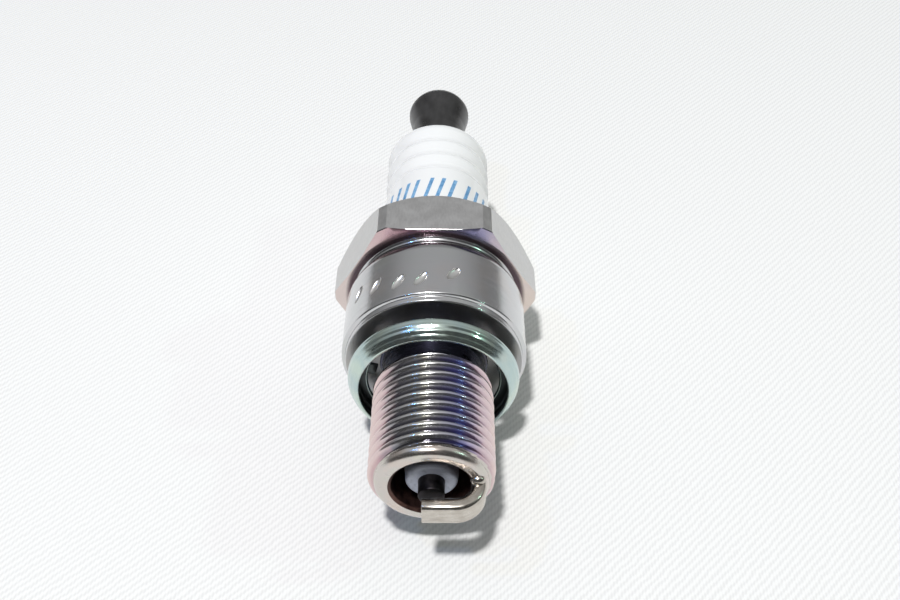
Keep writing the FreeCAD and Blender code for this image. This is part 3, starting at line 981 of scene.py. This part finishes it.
# --- Gasket ---
@dataclass
class FoldedGasket:
    """Loose ring folded from plated sheet: a round, rippled shoulder and an open channel inside."""

    near_y: float
    far_y: float
    outer_r: float
    sheet: float = 0.34
    face_hole_r: float = 6.1
    lip_r: float = 5.45
    first_ripple: float = 0.22
    ripple_pitch: float = 0.43
    ripples: int = 3
    ripple_depth: float = 0.045
    fall: float = 0.36
    tab_r: float = 4.8
    tab_width: float = 1.1
    first_tab: float = 45.0
    tabs: int = 3

    def shoulder(self, y: float) -> float:
        """Give the radius of the round shoulder at y: it falls away towards the near side."""
        return self.outer_r - self.fall * (self.far_y - 0.15 - y) ** 2

    def outline(self) -> list[Corner]:
        """Give the closed outline, once round from the near edge of the hole.

        Returns:
            The corners in order.
        """
        near, far, t = self.near_y, self.far_y, self.sheet
        corners = [Corner(near + t, self.face_hole_r, 0.1, 4), Corner(near, self.face_hole_r, 0.1, 4),
                   Corner(near, self.shoulder(near), 0.12, 4),
                   Corner(near + 0.25, self.shoulder(near + 0.25), 0.7, 5)]
        for i in reversed(range(self.ripples)):
            crest = far - self.first_ripple - i * self.ripple_pitch
            valley = crest - self.ripple_pitch / 2.0
            corners += [Corner(valley, self.shoulder(valley) - self.ripple_depth, 0.2, 4),
                        Corner(crest, self.shoulder(crest), 0.3, 5)]
        return corners + [
            Corner(far, self.outer_r - 0.1, 0.05, 3), Corner(far, self.lip_r, 0.14, 5),
            Corner(far - t, self.lip_r, 0.15, 5), Corner(far - t, self.outer_r - 2.0 * t, 0.24, 5),
            Corner(near + t + 0.3, self.outer_r - 2.3 * t, 0.4, 5)]

    def build(self) -> Piece:
        """Build and dress the gasket.

        Returns:
            The gasket.
        """
        bm = lathe(self.outline(), closed=True, steps=256)
        for i in range(self.tabs):
            made = bmesh.ops.create_cube(bm, size=1.0)["verts"]
            length = self.lip_r + 0.35 - self.tab_r
            shape = Matrix.Diagonal((self.tab_width, self.sheet - 0.04, length, 1.0))
            seat = Matrix.Translation((0.0, self.far_y - self.sheet / 2.0, self.tab_r + length / 2.0))
            turn = Matrix.Rotation(math.radians(self.first_tab + 360.0 / self.tabs * i), 4, "Y")
            bmesh.ops.transform(bm, matrix=turn @ seat @ shape, verts=made)
            edges = list({edge for vert in made for edge in vert.link_edges})
            round_off(bm, edges, 0.06, 2)
        sheet = PlatedSteel("filmed_gasket_sheet", plating="#C9D3CD",
                            film=("#B2D0C0", "#C6D8CD", "#AFC8CA", "#CBD2CC"), film_share=0.6, cloud=3.2,
                            roughness=0.17, grain=0.12, grain_height=0.0008).build()
        # Painted shade: the folded-in channel gets a dark plating and dark film.
        inner = PlatedSteel("gasket_channel_painted_shade", plating="#4A4E4C", film=("#3C4642", "#454A4C", "#3A3C40"),
                            film_share=0.5, roughness=0.32, grain=0.15).build()
        return finished("folded_gasket", bm, Body.GASKET, ["gasket"], [sheet, inner],
                        self.region)

    def region(self, middle: Vector, normal: Vector) -> int:
        """Pick the finish of a face: 0 outside and lip, 1 the folded-in channel, dark as painted shade.

        Args:
            middle: Middle of the face, mm.
            normal: Its normal.

        Returns:
            The material's number.
        """
        r = reach(middle)
        outside = r > self.shoulder(middle.y) - self.sheet / 2.0 or middle.y < self.near_y + 0.05
        on_lip = self.lip_r - 0.02 < r < self.lip_r + 0.28
        return 0 if outside or on_lip else 1


# --- Insulator ---
@dataclass
class CeramicInsulator:
    """Alumina insulator with its firing nose, flange, barrel and corrugations."""

    tip_y: float
    end_y: float
    barrel_r: float = 5.05
    tip_r: float = 2.0
    pin_bore_r: float = 1.05
    bore_r: float = 1.75
    seal_y: float = -2.6
    trunk_y: float = -4.0
    trunk_r: float = 3.5
    flange_y: float = 2.9
    flange_end_y: float = 9.3
    flange_r: float = 5.85
    rib_first_y: float = 21.5
    rib_pitch: float = 2.15
    ribs: int = 3
    rib_depth: float = 0.42
    rib_half: float = 0.95
    end_round: float = 1.3

    def outline(self) -> list[Corner]:
        """Give the closed outline, outside from tip to end and back through the bore.

        Returns:
            The corners in order.
        """
        r = self.barrel_r
        corners = [Corner(self.tip_y, self.pin_bore_r), Corner(self.tip_y, self.tip_r, 0.35, 6),
                   Corner(self.trunk_y - 1.0, 2.5, 1.0, 3), Corner(self.trunk_y, self.trunk_r, 0.3, 4),
                   Corner(self.flange_y - 1.35, self.trunk_r), Corner(self.flange_y, self.flange_r, 0.4, 4),
                   Corner(self.flange_end_y, self.flange_r, 0.4, 4),
                   Corner(self.flange_end_y + 0.35, r, 0.2, 4)]
        for i in range(self.ribs):
            y = self.rib_first_y + i * self.rib_pitch
            corners += [Corner(y - self.rib_half, r, 0.5, 4), Corner(y, r - self.rib_depth, 0.9, 7),
                        Corner(y + self.rib_half, r, 0.5, 4)]
        return corners + [
            Corner(self.end_y, r, self.end_round, 14), Corner(self.end_y, self.bore_r + 0.05, 0.1, 3),
            Corner(self.seal_y, self.bore_r), Corner(self.seal_y - 0.7, self.pin_bore_r)]

    def build(self) -> Piece:
        """Build and dress the insulator.

        Returns:
            The insulator.
        """
        glaze = GlazedAlumina("glazed_alumina").build()
        return finished("glazed_insulator", lathe(self.outline(), closed=True, steps=224), Body.PLUG,
                        ["insulator"], [glaze])


@dataclass
class PrintedBand:
    """Fired ink on the barrel: plain slanted bars in groups, a generic batch stripe."""

    barrel_r: float
    low_y: float = 15.6
    high_y: float = 18.9
    stroke: float = 0.36
    film: float = 0.012
    lean: float = 0.8
    group_arcs: tuple[float, ...] = (-5.3, -4.1, -3.1, -2.1, -0.75, 0.35, 1.45, 2.95, 4.0, 5.1)

    def bar(self, bm: BMesh, arc: float) -> None:
        """Lay one slanted bar on the barrel.

        Args:
            bm: Mesh that takes the bar.
            arc: Distance of its middle round the barrel from the top line, mm.
        """
        made = bmesh.ops.create_grid(bm, x_segments=3, y_segments=10, size=0.5)["verts"]
        height = self.high_y - self.low_y
        rise = (self.low_y + self.high_y) / 2.0
        for vert in made:
            along = vert.co.y
            sweep = (arc + vert.co.x * self.stroke + along * self.lean) / self.barrel_r
            out = self.barrel_r + self.film
            vert.co = Vector((out * math.sin(sweep), rise + along * height, out * math.cos(sweep)))

    def build(self) -> Piece:
        """Build and dress the band.

        Returns:
            The band.
        """
        bm = bmesh.new()
        for arc in self.group_arcs:
            self.bar(bm, arc)
        bmesh.ops.recalc_face_normals(bm, faces=bm.faces)
        bm.normal_update()
        if sum(face.normal.z for face in bm.faces) < 0.0:
            bmesh.ops.reverse_faces(bm, faces=bm.faces)
        bmesh.ops.solidify(bm, geom=bm.faces[:], thickness=self.film * 1.5)
        ink = Compound("fired_blue_ink", dark="#4F86B4", light="#84B2D8", grain=0.4, roughness=0.35).build()
        return finished("batch_stripe", bm, Body.PLUG, [], [ink])


# --- Terminal ---
@dataclass
class TerminalStud:
    """Solid terminal: domed knob, waist, flange and the grooved stem inside the insulator."""

    top_y: float
    start_y: float
    rim_r: float
    flange_y: float
    waist_r: float = 2.6
    flange_r: float = 2.95
    stem_r: float = 1.65
    first_groove_y: float = 11.05
    grooves: int = 4

    def outline(self) -> list[Corner]:
        """Give the open outline from the knob's top down to the stem's end.

        Returns:
            The corners in order.
        """
        top, rim, base = self.top_y, self.rim_r, self.flange_y
        corners = [Corner(top, 0.0), Corner(top, 1.9, 0.7, 8), Corner(top - 0.95, rim - 0.28, 1.2, 6),
                   Corner(top - 1.65, rim, 0.35, 6), Corner(top - 2.1, rim, 0.5, 5),
                   Corner(top - 4.3, self.waist_r + 0.12, 3.0, 6), Corner(top - 5.8, self.waist_r, 2.0, 4),
                   Corner(base + 1.15, self.waist_r, 0.3, 5), Corner(base + 0.95, self.flange_r, 0.12, 4),
                   Corner(base, self.flange_r, 0.1, 3), Corner(base, self.stem_r)]
        for i in range(self.grooves):
            y = self.first_groove_y - i * 0.6
            corners += [Corner(y, self.stem_r), Corner(y - 0.15, self.stem_r - 0.15),
                        Corner(y - 0.3, self.stem_r)]
        return corners + [Corner(self.start_y, self.stem_r, 0.3, 2), Corner(self.start_y, 0.0)]

    def build(self) -> Piece:
        """Build and dress the terminal.

        Returns:
            The terminal.
        """
        # The terminal gets a dark grey, partly metallic finish.
        dark_metal = StreakedMetal("dark_grey_steel", dark="#3D3C3C", light="#525151", roughness=0.32, metallic=0.7,
                              streak=0.9, stretch=(1.0, 0.4, 1.0), height=0.001, patch=2.2).build()
        return finished("solid_terminal", lathe(self.outline()), Body.PLUG,
                        ["terminal_stud"], [dark_metal])


# --- Firing end ---
@dataclass
class GroundStrap:
    """Nickel strap welded to the nose and bent across the centre electrode, with its weld."""

    outer_x: float
    end_x: float
    outer_y: float
    half_width: float
    root_y: float
    thickness: float = 1.15
    bend_r: float = 2.4
    edge_r: float = 0.4
    weld_r: float = 0.6

    def strap(self) -> BMesh:
        """Build the strap: a rounded rectangle pushed down the leg, round the bend and out to the end.

        Returns:
            The solid.
        """
        bm = bmesh.new()
        x0, x1, z = self.outer_x - self.thickness, self.outer_x, self.half_width
        root = self.root_y + 0.25
        verts = [bm.verts.new((x, root, zz)) for x, zz in ((x0, -z), (x1, -z), (x1, z), (x0, z))]
        for start, end in zip(verts, verts[1:] + verts[:1]):
            bm.edges.new((start, end))
        round_off(bm, verts, self.edge_r, 5, "VERTICES")
        face = bmesh.ops.contextual_create(bm, geom=bm.edges[:])["faces"][0]
        cap = self.push(bm, face, Vector((0.0, self.outer_y + self.bend_r - root, 0.0)))
        centre = Vector((self.outer_x - self.bend_r, self.outer_y + self.bend_r, 0.0))
        bent = bmesh.ops.spin(bm, geom=[cap] + list(cap.edges) + list(cap.verts), cent=centre,
                              axis=(0.0, 0.0, -1.0), angle=math.radians(90.0), steps=18,
                              use_duplicate=False)["geom_last"]
        cap = next(item for item in bent if isinstance(item, BMFace))
        cap = self.push(bm, cap, Vector((self.end_x - centre.x, 0.0, 0.0)))
        round_off(bm, list(cap.edges), 0.07, 2)
        bmesh.ops.recalc_face_normals(bm, faces=bm.faces)
        return bm

    @staticmethod
    def push(bm: BMesh, face: BMFace, by: Vector) -> BMFace:
        """Extrude one face along a vector.

        Args:
            bm: Mesh that holds the face.
            face: The face.
            by: How far and which way, mm.

        Returns:
            The moved face.
        """
        made = bmesh.ops.extrude_face_region(bm, geom=[face])["geom"]
        verts = [item for item in made if isinstance(item, BMVert)]
        bmesh.ops.translate(bm, vec=by, verts=verts)
        if face.is_valid:
            bmesh.ops.delete(bm, geom=[face], context="FACES_ONLY")
        return next(item for item in made if isinstance(item, BMFace))

    def weld_beads(self) -> BMesh:
        """Build the upset metal at both edges of the strap's root, with one larger nub.

        Returns:
            The two beads, as one mesh.
        """
        bm = bmesh.new()
        middle_x = self.outer_x - self.thickness / 2.0
        for side, size in ((1.0, 1.0), (-1.0, 0.8)):
            made = bmesh.ops.create_icosphere(bm, subdivisions=4, radius=self.weld_r * size)["verts"]
            bmesh.ops.scale(bm, vec=(0.95, 0.75, 0.8), verts=made)
            bmesh.ops.translate(bm, vec=(middle_x - 0.1, self.root_y + 0.02, side * (self.half_width + 0.04)),
                                verts=made)
        return bm

    def build(self) -> list[Piece]:
        """Build and dress the strap and its weld.

        Returns:
            The strap and its weld.
        """
        nickel = StreakedMetal("drawn_nickel_alloy", dark="#B4ACA2", light="#D2CCC3", roughness=0.22,
                               streak=0.1, stretch=(0.1, 0.1, 1.0), height=0.0015, patch=0.9).build()
        strap = finished("bent_ground_strap", self.strap(), Body.PLUG, ["ground_electrode"],
                         [nickel])
        weld = finished("strap_weld", self.weld_beads(), Body.PLUG, ["ground_weld"], [nickel])
        return [strap, weld]


@dataclass
class CentrePin:
    """Centre electrode: the firing pin, its flanged head and the hole for the copper core."""

    tip_y: float
    tail_y: float
    head_r: float
    pin_r: float = 1.02
    core_r: float = 0.5

    def build(self) -> Piece:
        """Build and dress the pin.

        Returns:
            The pin.
        """
        head = self.tail_y - 1.9
        core = self.tip_y + 1.3
        bm = lathe([Corner(self.tip_y, 0.0), Corner(self.tip_y, self.pin_r, 0.12, 5),
                    Corner(head, self.pin_r), Corner(head + 0.6, self.head_r),
                    Corner(head + 1.0, self.head_r),
                    Corner(head + 1.25, self.pin_r), Corner(self.tail_y, self.pin_r),
                    Corner(self.tail_y, self.core_r), Corner(core + 0.5, self.core_r),
                    Corner(core + 0.15, self.core_r - 0.15), Corner(core, 0.0)], steps=96)
        # Painted shade: the pin gets near-black tones for the shade it sits in at the firing end.
        painted_shade = StreakedMetal("nickel_painted_shade", dark="#1E1C1F", light="#3A3739", roughness=0.42, streak=0.6,
                             stretch=EVEN, height=0.006, patch=0.9).build()
        return finished("centre_pin", bm, Body.PLUG, ["center_electrode"], [painted_shade])


# --- Sealed pieces kept from the frame ---
@dataclass
class SealedPieces:
    """Pieces hidden inside the plug, kept as the frame has them and given their own materials."""

    nodes: dict[str, Piece]

    def dress(self) -> None:
        """Give each hidden piece its finish."""
        copper = StreakedMetal("drawn_copper", dark="#A9603F", light="#D08A62", roughness=0.3).build()
        wire = StreakedMetal("bare_packing_steel", dark="#7C7C7E", light="#A2A2A4", roughness=0.36).build()
        glass = Compound("copper_glass_seal", dark="#1B1716", light="#4A3428", grain=0.2,
                         roughness=0.25).build()
        carbon = Compound("carbon_resistor_mass", roughness=0.6).build()
        powder = Compound("pressed_talc", dark="#C9C8C2", light="#E6E5E0", grain=0.1, roughness=0.85).build()
        finishes = {"copper_core": copper, "lower_glass_seal": glass, "upper_glass_seal": glass,
                    "resistor": carbon, "sheet_packing": wire, "lower_packing_ring": wire,
                    "upper_packing_ring": wire, "talc_filling": powder}
        for node, material in finishes.items():
            materials = self.nodes[node].data.materials
            materials.clear()
            materials.append(material)
            log.info("%s: %s", node, material.name)


# --- Stage ---
@dataclass(frozen=True)
class SoftLamp:
    """A round studio lamp that faces the plug.

    Attributes:
        name: Its name.
        towards: Direction from the plug to the lamp.
        distance: Its distance, mm.
        size: Its diameter, mm.
        power: Its power, W.
        colour: Its colour.
    """

    name: str
    towards: tuple[float, float, float]
    distance: float
    size: float
    power: float
    colour: str = "#FFFFFF"


@dataclass
class StudioStage:
    """Cloth-covered table, lamps, pale room and camera."""

    table_z: float
    lamps: tuple[SoftLamp, ...] = (
        SoftLamp("overhead_lamp", (-0.12, -0.27, 0.96), 700.0, 56.0, 4.0),
        SoftLamp("left_lamp", (-0.475, -0.02, 0.876), 700.0, 28.0, 0.26, "#5FA4FF"),
        SoftLamp("right_lamp", (0.80, 0.03, 0.60), 700.0, 30.0, 0.24, "#C6FFE9"))
    aim: tuple[float, float, float] = (0.0, 0.0, 0.0)
    camera_at: tuple[float, float, float] = (1.53, -59.96, 66.05)
    pitch: float = 44.31
    yaw: float = -0.18
    roll: float = 0.11
    lens: float = 42.35

    def table(self) -> None:
        """Lay the cloth."""
        bm = bmesh.new()
        bmesh.ops.create_grid(bm, x_segments=1, y_segments=1, size=2000.0)
        bmesh.ops.translate(bm, vec=(0.0, 0.0, self.table_z), verts=bm.verts)
        bmesh.ops.scale(bm, vec=(MM, MM, MM), verts=bm.verts)
        cloth = hold("table_cloth", bm)
        cloth.data.materials.append(WovenCloth("white_cotton_twill").build())

    def light(self, lamp: SoftLamp) -> None:
        """Hang one lamp.

        Args:
            lamp: The lamp.
        """
        data = bpy.data.lights.new(lamp.name, "AREA")
        data.shape, data.size, data.energy = "DISK", lamp.size * MM, lamp.power
        data.color = linear(lamp.colour)[:3]
        hung = bpy.data.objects.new(lamp.name, data)
        towards = Vector(lamp.towards).normalized()
        hung.location = (Vector(self.aim) + towards * lamp.distance) * MM
        hung.rotation_euler = towards.to_track_quat("Z", "Y").to_euler()
        bpy.context.scene.collection.objects.link(hung)

    def room(self) -> None:
        """Make the room: pale overhead, greyer towards the horizon and dim on the camera's side."""
        world = bpy.data.worlds.new("pale_room")
        bpy.context.scene.world = world
        world.use_nodes = True
        tree = world.node_tree
        way = add_node(tree, "TexCoord", out="Generated")
        side, height = (add_node(tree, "SeparateXYZ", links={0: way}, out=axis) for axis in "YZ")
        front, low = (add_node(tree, "MapRange", {"interpolation_type": "SMOOTHSTEP", "From Min": start,
                                                  "From Max": end}, {"Value": along})
                      for along, start, end in ((side, 0.1, -0.35), (height, 0.985, 0.88)))
        pale = add_node(tree, "ValToRGB", {"stops": [(0.0, "#8E8E8E"), (0.3, "#8A8A8A"), (0.6, "#B2B3B4"),
                                                     (1.0, "#C8C8C8")]}, {"Fac": height})
        dim = add_node(tree, "Math", {"operation": "MULTIPLY"}, {0: front, 1: low})
        colour = add_node(tree, "Mix", {"data_type": "RGBA", 7: linear("#4C4C4D")}, {0: dim, 6: pale})
        background = next(node for node in tree.nodes if node.type == "BACKGROUND")
        tree.links.new(colour, background.inputs["Color"])

    def camera(self) -> None:
        """Set up the camera."""
        turns = ((-self.yaw, "Z"), (90.0 - self.pitch, "X"), (self.roll, "Z"))
        yaw, tilt, roll = (Matrix.Rotation(math.radians(angle), 4, axis) for angle, axis in turns)
        data = bpy.data.cameras.new("camera")
        data.lens, data.sensor_width, data.clip_start, data.clip_end = self.lens, 36.0, 0.001, 20.0
        camera = bpy.data.objects.new("camera", data)
        camera.matrix_world = Matrix.Translation(Vector(self.camera_at) * MM) @ yaw @ tilt @ roll
        bpy.context.scene.collection.objects.link(camera)
        bpy.context.scene.camera = camera

    def build(self) -> None:
        """Set up the whole stage."""
        self.camera()
        self.table()
        for lamp in self.lamps:
            self.light(lamp)
        self.room()
        bpy.context.scene.view_settings.view_transform = "Standard"


# --- Assembly ---
def box_mm(node: str) -> tuple[Vector, Vector]:
    """Read the lowest and highest corners of a CAD node, in mm."""
    low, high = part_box(node)
    return low / MM, high / MM


def main() -> None:
    """Build every piece of the plug and its stage."""
    logging.basicConfig(level=logging.INFO, format="%(name)s: %(message)s")
    low, high = box_mm("metal_shell")
    nose_y = low.y
    StudioStage(table_z=low.z).build()
    ShellBody(nose_y, crimp_y=high.y, flat_z=high.z).build()
    low, high = box_mm("gasket")
    FoldedGasket(near_y=low.y, far_y=high.y, outer_r=high.x).build()
    low, high = box_mm("insulator")
    end_y = high.y
    CeramicInsulator(low.y, end_y).build()
    PrintedBand(CeramicInsulator.barrel_r).build()
    low, high = box_mm("terminal_stud")
    TerminalStud(top_y=high.y, start_y=low.y, rim_r=high.x, flange_y=end_y).build()
    low, high = box_mm("ground_electrode")
    GroundStrap(outer_x=high.x, end_x=low.x, outer_y=low.y, half_width=high.z, root_y=nose_y).build()
    low, high = box_mm("center_electrode")
    CentrePin(tip_y=low.y, tail_y=high.y, head_r=high.x).build()
    SealedPieces(frame["nodes"]).dress()


if __name__ == "__main__":
    main()
